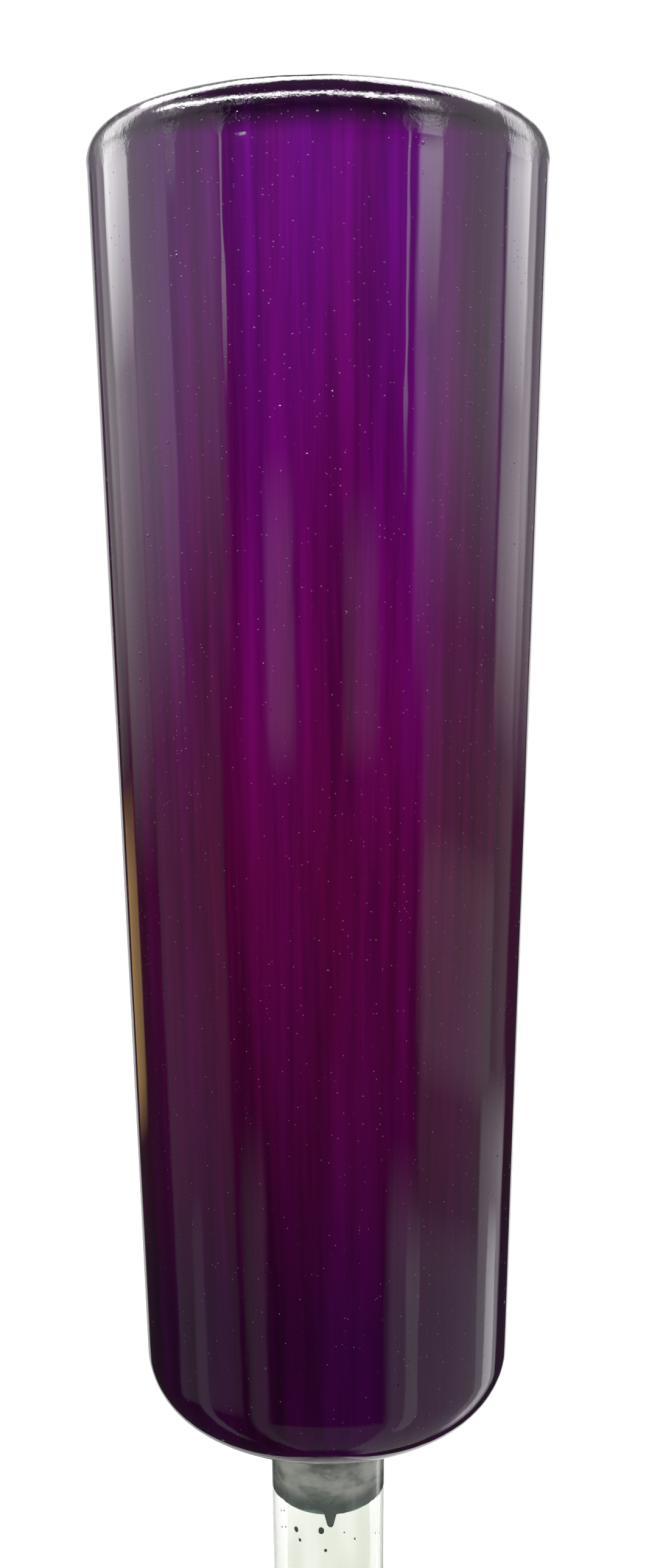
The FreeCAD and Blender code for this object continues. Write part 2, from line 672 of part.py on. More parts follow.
def long_screw(label, up, length, flip=False):
    """A pan-headed screw with a cross recess, its zero under the head and its point downwards."""
    body = new_body(label, up)
    screw = turned(body, [
        ("0", f"0 - {length}"),
        ("screw_radius", f"0 - {length} + screw_tip"),
        ("screw_radius", "0"),
        ("screw_head_radius", "0"),
        ("screw_head_radius", "0.5 * screw_head_height",
         dome_radius("screw_head_radius", "0.5 * screw_head_height")),
        ("0", "screw_head_height"),
    ])
    cross = new_sketch(body, "XY_Plane", "screw_head_height")
    near = "slot_width / 2"
    far = "slot_length / 2"
    quarter = [(far, near), (near, near), (near, far)]
    corners = list(quarter)
    for _ in range(3):
        quarter = [(f"0 - ({along})", across) for across, along in quarter]
        corners += quarter
    outline(cross, corners)
    recess = cut_through(body, cross, depth="slot_depth")
    assert recess.Shape.Volume < screw.Shape.Volume
    if flip:
        body.Placement.Rotation = FreeCAD.Rotation(FreeCAD.Vector(1, 0, 0), 180)


# ---------------------------------------------------------------- the whole club

body_shell()
mouth_ring()
cap_gasket()
top_cap()
well_cover()
plain_ring("cap_washer", f"handle_reach + {SEAT} + {WELL_BOTTOM}",
           WASHER_HOLE, CAP_WASHER, "washer_height")
long_screw("cap_screw", f"handle_reach + {SEAT} + {WELL_BOTTOM} + washer_height", "cap_screw_length")
plain_ring("dowel_damper", f"handle_reach + {DOWEL_TOP}", WASHER_HOLE, DOWEL_RADIUS, "damper_height")
core_dowel()
dowel_ferrule()
centring_disc()
handle_tube()
handle_pins()
clamp_ring()
grub_screws()
neck_gasket()
neck_collar()
collar_screws()
knob()
knob_insert()
insert_pin()
plain_ring("knob_washer", KNOB_SCREW_SEAT, WASHER_HOLE, KNOB_WASHER, "washer_height")
long_screw("knob_screw", KNOB_SCREW_SEAT, "knob_screw_length", flip=True)

doc.recompute()
for item in doc.Objects:
    faults = {"Invalid", "Error"} & set(item.State)
    if faults:
        raise RuntimeError(f"{item.Label}: {', '.join(faults)}")
for node in nodes:
    if node.Shape.isNull() or not node.Shape.isValid():
        raise RuntimeError(f"{node.Label} has no sound shape")

os.makedirs("parts", exist_ok=True)
for node in nodes:
    node.Shape.exportStep(os.path.join("parts", f"{node.Label}.step"))
    print(f"{node.Label}: {len(node.Shape.Solids)} solids, {node.Shape.Volume / 1000:.2f} cm3")
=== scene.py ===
import math
import random

import bmesh
import bpy
from mathutils import Matrix, Vector, noise


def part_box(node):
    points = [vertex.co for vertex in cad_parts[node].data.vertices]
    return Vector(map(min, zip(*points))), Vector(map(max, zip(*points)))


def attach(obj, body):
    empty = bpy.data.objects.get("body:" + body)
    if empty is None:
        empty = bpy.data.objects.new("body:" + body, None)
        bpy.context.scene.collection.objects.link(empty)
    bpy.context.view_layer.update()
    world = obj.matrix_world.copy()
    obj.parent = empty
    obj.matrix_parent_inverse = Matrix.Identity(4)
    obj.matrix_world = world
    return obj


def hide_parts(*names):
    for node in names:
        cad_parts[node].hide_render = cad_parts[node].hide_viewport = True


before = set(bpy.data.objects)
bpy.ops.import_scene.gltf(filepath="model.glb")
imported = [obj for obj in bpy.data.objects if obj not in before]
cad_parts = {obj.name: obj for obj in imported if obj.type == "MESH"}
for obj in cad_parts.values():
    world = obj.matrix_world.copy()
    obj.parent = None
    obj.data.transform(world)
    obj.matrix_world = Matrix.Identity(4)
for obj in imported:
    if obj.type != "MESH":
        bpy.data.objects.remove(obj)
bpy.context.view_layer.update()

bl_info = {
    "name": "Juggling Club",
    "version": (1, 0, 0),
    "blender": (4, 5, 0),
    "location": "3D View > Sidebar > Club",
    "description": "A juggling club with a lacquered drum body on a clear handle",
    "category": "Object",
}

UP = Vector((0, 0, 1))
SMOOTH_UNDER = math.radians(38)

SHELL_LOW, SHELL_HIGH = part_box("body_shell")
CAP_LOW, CAP_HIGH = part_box("top_cap")
SEAL_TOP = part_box("cap_gasket")[1].z
SEAL_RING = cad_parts["cap_gasket"].data
SEAL_INNER = min(math.hypot(vertex.co.x, vertex.co.y) for vertex in SEAL_RING.vertices)
COVER_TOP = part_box("well_cover")[1].z
WASHER_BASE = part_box("cap_washer")[0].z
DAMPER_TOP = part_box("dowel_damper")[1].z
TUBE_LOW, TUBE_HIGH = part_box("handle_tube")
FERRULE_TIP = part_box("dowel_ferrule")[0].z
KNOB_LOW, KNOB_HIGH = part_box("knob")
KNOB_WASHER_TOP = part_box("knob_washer")[1].z

# Where the painted shade and the craze set in on the shoulder, and where they are full, under the drum's top.
SHOULDER_SHADE_AND_CRAZE = (0.0120, 0.0065)
# How the bead under the shoulder wanders: steps of noise per radian, and share of the bead's width.
BEAD_WANDER = [(14, 0.6), (45, 0.4), (160, 0.25)]

# Small flecks in the clear wall: how far out from the bore, radius, length against width, how far they
# keep from knob and drum, and how wide the lumps on them are.
FLECK_DEPTH = (0.0006, 0.0012)
FLECK_RADIUS = (0.00008, 0.0002)
FLECK_LENGTH = (0.8, 1.6)
FLECK_END_GAP = 0.01
FLECK_LUMP = 0.0003
FLECK_SEED = 4
# The larger flecks: turn from the front to the right in degrees, distance under the ferrule's tip, radius.
LARGE_FLECKS = [
    (-4, 0.0068, 0.0003), (-42, 0.0032, 0.0005), (-37, 0.0054, 0.0003), (-9, 0.0022, 0.0006),
    (33, 0.0050, 0.0002), (12, 0.0115, 0.0003), (-60, 0.0150, 0.0004), (140, 0.0060, 0.0005),
]

# The resin's lower edge: steps of noise per radian, and height.  It thins out between two heights above.
RESIN_WANDER = [(2.2, 0.0006), (7, 0.0004)]
RESIN_THINS = (0.0012, 0.0050)
RESIN_DARK, RESIN_SMOKE, RESIN_PALE = (0.030, 0.052, 0.044), (0.10, 0.13, 0.115), (0.52, 0.53, 0.48)

# Finger grooves: how many, how far apart, the first one under the knob's top, and half their width.
GROOVE_COUNT, GROOVE_STEP, GROOVE_START, GROOVE_WIDTH = 3, 0.0035, 0.0055, 0.0007


# ---------------------------------------------------------------- sizes and colours

class ClubBodySizes(bpy.types.PropertyGroup):
    """Drum and cap"""

    base_radius: bpy.props.FloatProperty(
        name="Base radius", description="Side of the drum carried down to its base",
        default=0.0394, unit="LENGTH", precision=4)
    base_rounding: bpy.props.FloatProperty(
        name="Base rounding", description="Rounding between base and side",
        default=0.0145, unit="LENGTH", precision=4)
    side_wall: bpy.props.FloatProperty(
        name="Side wall", description="Thickness of the drum's side",
        default=0.0014, unit="LENGTH", precision=4)
    base_floor: bpy.props.FloatProperty(
        name="Base floor", description="Thickness of the drum's base",
        default=0.0024, unit="LENGTH", precision=4)
    lip_flat: bpy.props.FloatProperty(
        name="Lip flat", description="Crown from the shoulder's rounding to the mouth",
        default=0.0005, unit="LENGTH", precision=4)
    lip_rounding: bpy.props.FloatProperty(
        name="Lip rounding", description="Rounding inside, between side and crown",
        default=0.0025, unit="LENGTH", precision=4)
    edge_rounding: bpy.props.FloatProperty(
        name="Edge rounding", description="Small rounding of a moulded edge",
        default=0.0005, unit="LENGTH", precision=4)
    shoulder_radius: bpy.props.FloatProperty(
        name="Shoulder radius", description="Side of the drum carried up to the crown",
        default=0.0475, unit="LENGTH", precision=4)
    shoulder_rounding: bpy.props.FloatProperty(
        name="Shoulder rounding", description="Rounding between side and crown",
        default=0.0050, unit="LENGTH", precision=4)
    crown_rise: bpy.props.FloatProperty(
        name="Crown rise", description="Height of the crown's dome",
        default=0.0035, unit="LENGTH", precision=4)
    cap_wall: bpy.props.FloatProperty(
        name="Cap wall", description="Thickness of the cap and of its skirt",
        default=0.0018, unit="LENGTH", precision=4)
    fit_gap: bpy.props.FloatProperty(
        name="Fit gap", description="Between pieces that slide together",
        default=0.00015, unit="LENGTH", precision=5)
    well_radius: bpy.props.FloatProperty(
        name="Well radius", description="Screw well in the crown",
        default=0.0115, unit="LENGTH", precision=4)
    screw_hole: bpy.props.FloatProperty(
        name="Screw hole", description="Radius of the holes that the long screws pass through",
        default=0.00255, unit="LENGTH", precision=5)
    drum_ripple: bpy.props.FloatProperty(
        name="Drum ripple", description="How far the poured lacquer stands off a true side",
        default=0.00003, unit="LENGTH", precision=5)
    shoulder_ripple: bpy.props.FloatProperty(
        name="Shoulder ripple", description="The same where the lacquer gathers on the shoulder",
        default=0.00008, unit="LENGTH", precision=5)
    bead_height: bpy.props.FloatProperty(
        name="Bead height", description="Bead of lacquer under the shoulder",
        default=0.00010, unit="LENGTH", precision=5)
    bead_width: bpy.props.FloatProperty(
        name="Bead width", description="Half the width of that bead",
        default=0.0008, unit="LENGTH", precision=5)
    steps: bpy.props.IntProperty(
        name="Steps round", description="Steps round the drum and the cap",
        default=320, min=48)


class ClubHandleSizes(bpy.types.PropertyGroup):
    """Clear handle and knob"""

    bore_radius: bpy.props.FloatProperty(
        name="Bore radius", description="Inside of the clear tube",
        default=0.0093, unit="LENGTH", precision=4)
    grip_radius: bpy.props.FloatProperty(
        name="Grip radius", description="Straight stretch above the knob",
        default=0.0113, unit="LENGTH", precision=4)
    knob_lobe: bpy.props.FloatProperty(
        name="Knob lobe", description="Rounding of the knob's lower edge",
        default=0.008, unit="LENGTH", precision=4)
    knob_rim: bpy.props.FloatProperty(
        name="Knob rim", description="Radius of the knob's rim round the handle",
        default=0.0134, unit="LENGTH", precision=4)
    knob_well_radius: bpy.props.FloatProperty(
        name="Knob well radius", description="Screw well in the knob's underside",
        default=0.0074, unit="LENGTH", precision=4)
    groove_depth: bpy.props.FloatProperty(
        name="Groove depth", description="Finger grooves round the knob's neck",
        default=0.0005, unit="LENGTH", precision=4)
    resin_edge: bpy.props.FloatProperty(
        name="Resin edge", description="Lower edge of the resin in the bore, above the ferrule's tip",
        default=0.0020, unit="LENGTH", precision=4)
    resin_film: bpy.props.FloatProperty(
        name="Resin film", description="Thickness of the resin on the bore",
        default=0.0002, unit="LENGTH", precision=5)
    resin_bite: bpy.props.FloatProperty(
        name="Resin bite", description="How far the resin has etched into the clear wall",
        default=0.00003, unit="LENGTH", precision=5)
    drip_length: bpy.props.FloatProperty(
        name="Drip length", description="How far the one drip ran down the bore",
        default=0.0034, unit="LENGTH", precision=4)
    drip_width: bpy.props.FloatProperty(
        name="Drip width", description="Half the angle that it takes of the bore",
        default=math.radians(6), subtype="ANGLE", unit="ROTATION")
    drip_turn: bpy.props.FloatProperty(
        name="Drip turn", description="Where the drip is, from the front to the right",
        default=math.radians(2), subtype="ANGLE", unit="ROTATION")
    fleck_count: bpy.props.IntProperty(
        name="Flecks", description="Small flecks moulded into the clear wall",
        default=30, min=0)


class ClubFinish(bpy.types.PropertyGroup):
    """Colours"""

    lacquer_high: bpy.props.FloatVectorProperty(
        name="Lacquer, high", description="Candy lacquer near the crown, where it is violet",
        default=(0.112, 0.0006, 0.130), subtype="COLOR")
    lacquer_middle: bpy.props.FloatVectorProperty(
        name="Lacquer, middle", description="Candy lacquer halfway down, where it is redder",
        default=(0.112, 0.0006, 0.050), subtype="COLOR")
    # Darker near the base, partly as painted shade of the lower drum.
    lacquer_low_shaded: bpy.props.FloatVectorProperty(
        name="Lacquer, low", description="Candy lacquer near the base, where it lies thickest",
        default=(0.025, 0.0003, 0.023), subtype="COLOR")
    brush_mark: bpy.props.FloatProperty(
        name="Brush marks", description="How much brighter the metal under the lacquer is along a brush mark",
        default=1.45, min=0)
    # Painted shade: how far the two sides near the crown are darkened where the light falls away from the
    # front.
    painted_side_shade: bpy.props.FloatProperty(
        name="Painted side shade", description="How much darker the lacquer is on the two sides near the crown",
        default=0.68, min=0, max=1)
    glitter: bpy.props.FloatVectorProperty(
        name="Glitter", description="Fine flake in the lacquer",
        default=(0.30, 0.12, 0.30), subtype="COLOR")
    clear_tint: bpy.props.FloatVectorProperty(
        name="Clear tint", description="Tint of the clear handle",
        default=(0.73, 0.755, 0.69), subtype="COLOR")
    ferrule_green: bpy.props.FloatVectorProperty(
        name="Ferrule green", description="Dark grey-green moulding on the dowel's end",
        default=(0.045, 0.090, 0.072), subtype="COLOR")
    rubber: bpy.props.FloatVectorProperty(
        name="Rubber", description="Knob and seals",
        default=(0.020, 0.018, 0.022), subtype="COLOR")


class ClubStage(bpy.types.PropertyGroup):
    """Camera and light"""

    camera_distance: bpy.props.FloatProperty(
        name="Camera distance", description="From the club's axis, level with the ground",
        default=0.345, unit="LENGTH")
    camera_lift: bpy.props.FloatProperty(
        name="Camera lift", description="Above the drum's base",
        default=0.1765, unit="LENGTH")
    camera_pitch: bpy.props.FloatProperty(
        name="Camera pitch", description="Downwards",
        default=math.radians(6.3), subtype="ANGLE", unit="ROTATION")
    camera_yaw: bpy.props.FloatProperty(
        name="Camera yaw", description="To the right",
        default=math.radians(0.054), subtype="ANGLE", unit="ROTATION")
    camera_roll: bpy.props.FloatProperty(
        name="Camera roll", description="Clockwise, seen from behind the camera",
        default=math.radians(0.43), subtype="ANGLE", unit="ROTATION")
    focal_length: bpy.props.FloatProperty(
        name="Focal length", description="In millimetres, for a long side of 36",
        default=37.02, unit="CAMERA")
    ambient: bpy.props.FloatProperty(
        name="Ambient", description="Even light that matt surfaces get",
        default=0.06)
    front_light: bpy.props.FloatProperty(
        name="Front light", description="More of it from the front",
        default=2.4)
    back_light: bpy.props.FloatProperty(
        name="Back light", description="More of it from behind",
        default=2.2)
    top_light: bpy.props.FloatProperty(
        name="Top light", description="More of it from straight above",
        default=2.4)
    floor_glow: bpy.props.FloatProperty(
        name="Floor glow", description="Light that comes up through the floor paper",
        default=0.40)


GROUPS = {
    "club_body": ClubBodySizes,
    "club_handle": ClubHandleSizes,
    "club_finish": ClubFinish,
    "club_stage": ClubStage,
}


# ---------------------------------------------------------------- mesh work

def turned(corners, steps):
    """A mesh turned round the upright axis from a closed outline of (radius, height) corners."""
    mesh = bmesh.new()
    points = [mesh.verts.new((radius, 0, height)) for radius, height in corners]
    for pair in zip(points, points[1:] + points[:1]):
        mesh.edges.new(pair)
    bmesh.ops.spin(mesh, geom=mesh.verts[:] + mesh.edges[:], cent=(0, 0, 0), axis=UP,
                   angle=2 * math.pi, steps=steps, use_merge=True)
    bmesh.ops.remove_doubles(mesh, verts=mesh.verts, dist=1e-7)
    bmesh.ops.recalc_face_normals(mesh, faces=mesh.faces)
    return mesh


def radius_of(vertex):
    """How far a vertex is from the club's axis."""
    return math.hypot(vertex.co.x, vertex.co.y)


def away_from_axis(vertex):
    """The level direction from the club's axis to a vertex."""
    return Vector((vertex.co.x, vertex.co.y, 0)).normalized()


def rise_of(edge):
    """How much higher one end of an edge is than the other."""
    return abs(edge.verts[0].co.z - edge.verts[1].co.z)


def wander(away, waves):
    """Soft noise round the axis, from pairs of steps per radian and height."""
    return sum(height * noise.noise(away * steps) for steps, height in waves)


def round_rings(mesh, rings, rounding, segments):
    """Rounds circular edges.  The turn at the edge gives how far back the rounding starts."""
    slack = 2e-6
    for radius, height in rings:
        ring = [vertex for vertex in mesh.verts
                if abs(radius_of(vertex) - radius) < slack and abs(vertex.co.z - height) < slack]
        on_ring = set(ring)
        edges = [edge for edge in mesh.edges if on_ring.issuperset(edge.verts)]
        reach = rounding * math.tan(edges[0].calc_face_angle() / 2)
        bmesh.ops.bevel(mesh, geom=edges, offset=reach, offset_type="OFFSET", segments=segments,
                        profile=0.5, affect="EDGES", material=-1, clamp_overlap=False)


def dome(outer, inner, top, rise, half_width, steps):
    """Corners along a domed surface, from an outer radius to an inner one."""
    ball = (half_width ** 2 + rise ** 2) / (2 * rise)
    radii = [outer + (inner - outer) * step / steps for step in range(steps + 1)]
    return [(radius, top - ball + math.sqrt(ball ** 2 - radius ** 2)) for radius in radii]


def arc(across, up, rounding, start, end, steps):
    """Corners along an arc about a middle, from one angle to another."""
    angles = [start + (end - start) * step / steps for step in range(steps + 1)]
    return [(across + rounding * math.cos(angle), up + rounding * math.sin(angle)) for angle in angles]


def ripple(mesh, depth, per_metre, share_of, stretch=1.0):
    """Moves vertices in and out along their normals by a soft noise."""
    mesh.normal_update()
    for vertex in mesh.verts:
        share = share_of(vertex)
        if share > 0:
            spot = Vector((vertex.co.x, vertex.co.y, vertex.co.z * stretch)) * per_metre
            vertex.co += vertex.normal * depth * share * noise.noise(spot)


def finished(name, mesh, material):
    """Makes the piece, smooth but for its sharp edges, riding on the club's one body."""
    for face in mesh.faces:
        face.smooth = True
    for edge in mesh.edges:
        edge.smooth = len(edge.link_faces) == 2 and edge.calc_face_angle() < SMOOTH_UNDER
    data = bpy.data.meshes.new(name)
    mesh.to_mesh(data)
    mesh.free()
    data.materials.append(material)
    piece = bpy.data.objects.new(name, data)
    bpy.context.scene.collection.objects.link(piece)
    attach(piece, "root")
    return piece


# ---------------------------------------------------------------- shader work

class Nodes:
    """Short ways to add the nodes that the finishes and the light share."""

    def __init__(self, tree):
        self.tree = tree
        tree.nodes.clear()

    def add(self, kind, inputs=None, **settings):
        """Adds a node with its settings and inputs."""
        made = self.tree.nodes.new(kind)
        for key, value in settings.items():
            setattr(made, key, value)
        for key, value in (inputs or {}).items():
            self.feed(made.inputs[key], value)
        return made

    def feed(self, socket, value):
        """Links a socket, or sets its value."""
        if isinstance(value, bpy.types.NodeSocket):
            self.tree.links.new(value, socket)
        elif socket.type == "RGBA":
            socket.default_value = (*value[:3], 1)
        else:
            socket.default_value = value

    def calc(self, operation, first, second=0.0, third=0.0):
        """One step of arithmetic on numbers."""
        return self.add("ShaderNodeMath", {0: first, 1: second, 2: third}, operation=operation).outputs[0]

    def times(self, first, second):
        return self.calc("MULTIPLY", first, second)

    def most(self, first, second):
        return self.calc("MAXIMUM", first, second)

    def vector(self, operation, inputs):
        """One step of arithmetic on colours or directions."""
        return self.add("ShaderNodeVectorMath", inputs, operation=operation).outputs[0]

    def mix(self, factor, first, second):
        """Goes from the first colour to the second as the factor rises."""
        return self.add("ShaderNodeMix", {0: factor, 6: first, 7: second}, data_type="RGBA").outputs[2]

    def spread(self, value, low, high, new_low=0.0, new_high=1.0, smooth=False):
        """Maps a value from one range to another, and holds it there past the ends."""
        kind = "SMOOTHSTEP" if smooth else "LINEAR"
        return self.add("ShaderNodeMapRange", {0: value, 1: low, 2: high, 3: new_low, 4: new_high},
                        interpolation_type=kind).outputs[0]


class Finish(Nodes):
    """A material on Object coordinates, with its Principled shader."""

    def __init__(self, name):
        self.material = bpy.data.materials.new(name)
        self.material.use_nodes = True
        super().__init__(self.material.node_tree)
        self.shader = self.add("ShaderNodeBsdfPrincipled")
        self.add("ShaderNodeOutputMaterial", {"Surface": self.shader.outputs["BSDF"]})
        self.place = self.add("ShaderNodeTexCoord").outputs["Object"]

    def stretched(self, scale):
        """Object coordinates, stretched so that a pattern runs along one way."""
        return self.add("ShaderNodeMapping", {"Vector": self.place, "Scale": scale}).outputs["Vector"]

    def cloud(self, per_metre, detail=3.0, rough=0.5, along=None):
        """A soft random pattern."""
        inputs = {"Vector": along or self.place, "Scale": per_metre, "Detail": detail, "Roughness": rough}
        return self.add("ShaderNodeTexNoise", inputs).outputs["Fac"]

    def specks(self, per_metre, size, share):
        """Round specks of a size, in a share of the cells of a scattered pattern."""
        cells = self.add("ShaderNodeTexVoronoi", {"Vector": self.place, "Scale": per_metre}).outputs
        lot = self.add("ShaderNodeSeparateColor", {"Color": cells["Color"]}).outputs["Red"]
        return self.times(self.spread(cells["Distance"], size, size * 0.4, smooth=True),
                          self.calc("GREATER_THAN", lot, 1 - share))

    def bump(self, height, depth, under=None):
        """Raises the surface by a pattern, whose full range is a depth in metres."""
        inputs = {"Height": height, "Distance": depth, "Strength": 1.0}
        if under is not None:
            inputs["Normal"] = under
        return self.add("ShaderNodeBump", inputs).outputs["Normal"]

    def done(self, **values):
        """Feeds the shader's sockets and gives the material."""
        for key, value in values.items():
            self.feed(self.shader.inputs[key.replace("_", " ")], value)
        return self.material


# ---------------------------------------------------------------- finishes

def candy_lacquer():
    """Transparent purple over upright brush marks, under a thick clear coat with dust nibs in it."""
    colours = bpy.context.scene.club_finish
    lacquer = Finish("candy_lacquer")
    across, _, height = lacquer.add("ShaderNodeSeparateXYZ", {"Vector": lacquer.place}).outputs
    up = lacquer.spread(height, SHELL_LOW.z, CAP_HIGH.z)
    # The shoulder's painted shade and its craze share one mask.
    shade_start, shade_full = (SHELL_HIGH.z - below for below in SHOULDER_SHADE_AND_CRAZE)
    on_shoulder = lacquer.spread(height, shade_start, shade_full, smooth=True)

    # Painted shade: darker colour on the two sides, more so higher up, and on the shoulder, where the light
    # falls away.
    sideways = lacquer.spread(lacquer.calc("ABSOLUTE", across), 0.2 * SHELL_HIGH.x, 0.8 * SHELL_HIGH.x,
                              smooth=True)
    shaded_sides = lacquer.times(sideways, lacquer.spread(up, 0.1, 1.0, 0.0, colours.painted_side_shade))
    painted_shade = lacquer.most(shaded_sides, lacquer.times(on_shoulder, 0.85))
    # What the painted shade leaves of the lacquer's brightness.
    thin = lacquer.calc("SUBTRACT", 1.0, painted_shade)

    # Upright brush marks in the metal under the lacquer.
    fine = lacquer.cloud(per_metre=420, detail=4, rough=0.62, along=lacquer.stretched((1, 1, 0.012)))
    broad = lacquer.cloud(per_metre=95, detail=2, along=lacquer.stretched((1, 1, 0.04)))
    marks = lacquer.calc("MULTIPLY_ADD", fine, 0.6, lacquer.times(broad, 0.4))
    brush = lacquer.spread(marks, 0.36, 0.66, 0.55, colours.brush_mark)

    # The pigment's three colours from the base up, darker towards the base partly as painted shade, more
    # violet in streaks, with flake in it.
    lower = lacquer.mix(lacquer.spread(up, 0.12, 0.56), colours.lacquer_low_shaded, colours.lacquer_middle)
    pigment = lacquer.mix(lacquer.spread(up, 0.46, 0.92), lower, colours.lacquer_high)
    violet = lacquer.vector("MULTIPLY", {0: pigment, 1: (0.96, 1.0, 1.22)})
    streaked = lacquer.mix(lacquer.spread(broad, 0.42, 0.62), pigment, violet)
    brushed = lacquer.vector("SCALE", {0: streaked, 3: lacquer.times(brush, thin)})
    flake = lacquer.specks(per_metre=1700, size=0.24, share=0.04)
    colour = lacquer.mix(flake, brushed, colours.glitter)

    # The poured face, with craze on the shoulder and dust nibs in the clear coat.
    runs = lacquer.cloud(per_metre=120, detail=3, along=lacquer.stretched((1, 1, 0.10)))
    craze = lacquer.times(lacquer.cloud(per_metre=900, detail=4, rough=0.6), on_shoulder)
    nibs = lacquer.most(lacquer.specks(per_metre=420, size=0.15, share=0.08),
                        lacquer.specks(per_metre=1100, size=0.20, share=0.10))
    poured = lacquer.bump(runs, depth=0.00009)
    crazed = lacquer.bump(craze, depth=0.00006, under=poured)
    coat_face = lacquer.bump(nibs, depth=0.00004, under=crazed)
    base_face = lacquer.bump(fine, depth=0.00003, under=poured)
    return lacquer.done(Base_Color=colour, Metallic=0.10, Roughness=0.45, IOR=1.5, Normal=base_face,
                        Specular_IOR_Level=0.0, Coat_Weight=1.0, Coat_Roughness=0.03, Coat_IOR=1.5,
                        Coat_Normal=coat_face)


def clear_plastic():
    """The handle's clear tube, with a faint green cast and slow waves from moulding."""
    clear = Finish("clear_plastic")
    waves = clear.cloud(per_metre=60, detail=2, along=clear.stretched((1, 1, 0.35)))
    scratches = clear.cloud(per_metre=900, detail=2, rough=0.7, along=clear.stretched((1, 1, 0.08)))
    face = clear.bump(scratches, depth=0.000003, under=clear.bump(waves, depth=0.00020))
    tint = bpy.context.scene.club_finish.clear_tint
    fainter = [channel ** 0.4 for channel in tint]
    colour = clear.mix(clear.spread(waves, 0.38, 0.62), tint, fainter)
    return clear.done(Base_Color=colour, IOR=1.49, Normal=face,
                      Roughness=clear.spread(scratches, 0.45, 0.75, 0.012, 0.05), Transmission_Weight=1.0)


def moulded(name, dark, bright, rough=(0.35, 0.5), grain=0.00002, per_metre=260):
    """Moulded plastic or rubber: two near colours, clouded, with a fine grain."""
    plastic = Finish(name)
    clouds = plastic.cloud(per_metre, detail=5, rough=0.6)
    colour = plastic.mix(plastic.spread(clouds, 0.35, 0.65), dark, bright)
    face = plastic.bump(plastic.cloud(per_metre * 8, detail=3), depth=grain)
    return plastic.done(Base_Color=colour, Normal=face, Roughness=plastic.spread(clouds, 0.3, 0.7, *rough))


def set_resin(edge):
    """Cloudy resin, dark grey-green along its lower edge and paler where it lies thin above."""
    resin = Finish("set_resin")
    height = resin.add("ShaderNodeSeparateXYZ", {"Vector": resin.place}).outputs["Z"]
    patches = resin.cloud(per_metre=110, detail=4, rough=0.55, along=resin.stretched((1, 1, 1.6)))
    thins_from, thins_to = (edge + above for above in RESIN_THINS)
    thin = resin.spread(height, thins_from, thins_to, smooth=True)
    pale = resin.times(thin, resin.spread(patches, 0.40, 0.62, 0.15, 1.0))
    smoke = resin.mix(resin.spread(patches, 0.35, 0.65), RESIN_DARK, RESIN_SMOKE)
    face = resin.bump(resin.cloud(per_metre=500, detail=3), depth=0.00004)
    return resin.done(Base_Color=resin.mix(pale, smoke, RESIN_PALE), Normal=face,
                      Roughness=resin.spread(patches, 0.3, 0.7, 0.15, 0.4))


def lathe_metal(name, dark, bright, roughness):
    """Metal with the fine rings that a lathe leaves, and the dull patches of handling."""
    metal = Finish(name)
    radians_per_metre = 24000.0
    across = metal.add("ShaderNodeVectorMath", {0: metal.stretched((1, 1, 0))}, operation="LENGTH")
    rings = metal.calc("SINE", metal.times(across.outputs["Value"], radians_per_metre))
    handling = metal.cloud(per_metre=300, detail=4)
    colour = metal.mix(metal.spread(handling, 0.35, 0.7), dark, bright)
    gloss = metal.spread(handling, 0.3, 0.8, roughness, roughness + 0.14)
    return metal.done(Base_Color=colour, Metallic=1.0, Roughness=gloss, Normal=metal.bump(rings, 0.000004))


def long_grain_wood(name, pale, dark):
    """Straight-grained wood, its grain along the axis."""
    timber = Finish(name)
    grain = timber.cloud(per_metre=700, detail=5, rough=0.65, along=timber.stretched((1, 1, 0.02)))
    figure = timber.cloud(per_metre=90, detail=2, along=timber.stretched((1, 1, 0.08)))
    blend = timber.calc("MULTIPLY_ADD", grain, 0.6, timber.times(figure, 0.4))
    colour = timber.mix(timber.spread(blend, 0.4, 0.6), dark, pale)
    return timber.done(Base_Color=colour, Roughness=0.62, Normal=timber.bump(grain, 0.00006))


# ---------------------------------------------------------------- drum and cap

def crown_line(sizes, outer, inner, steps):
    """Corners of the crown's dome, from one radius in to another."""
    return dome(outer, inner, COVER_TOP, sizes.crown_rise, sizes.shoulder_radius, steps)


